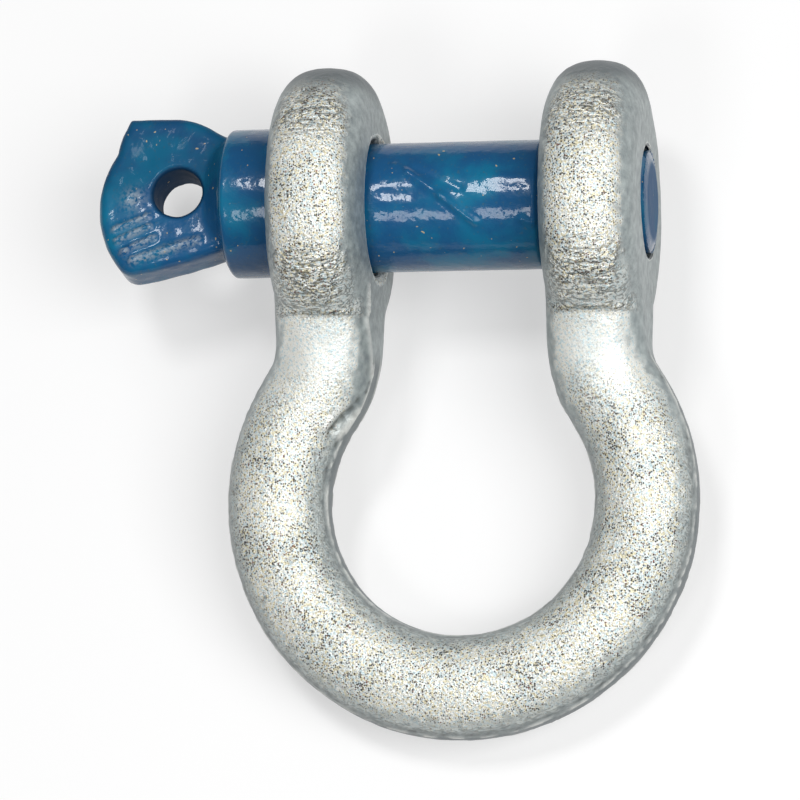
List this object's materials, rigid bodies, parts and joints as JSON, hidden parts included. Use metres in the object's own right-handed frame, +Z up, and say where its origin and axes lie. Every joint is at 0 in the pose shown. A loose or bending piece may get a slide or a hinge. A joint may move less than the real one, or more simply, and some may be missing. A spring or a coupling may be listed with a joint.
{
  "type": "bow shackle",
  "caption": "Forged bow shackle, pear-shaped, closed by a screw pin with a flat eyed head, for joining chain, rope and lifting gear.",
  "frame": {"origin": "on the pin's axis, midway between the two ears", "axes": "+X along the pin towards its screwed end, +Y from the crown of the bow towards the ears, +Z up as the shackle lies"},
  "size_m": [0.1129, 0.1238, 0.0526],
  "materials": {
    "galvanised_steel": "hot-dip galvanised, bright and finely grained, with small dark pits",
    "blue_paint": "thick glossy dark blue paint, a little uneven"
  },
  "bodies": {
    "bow_body": {"bow": "galvanised_steel"},
    "pin_body": {"screw_pin": "blue_paint"}
  },
  "joints": [
    {"name": "pin_slide", "type": "slide", "parent": "bow_body", "child": "pin_body", "axis": [-1, 0, 0], "range_m": [0, 0.072]}
  ]
}
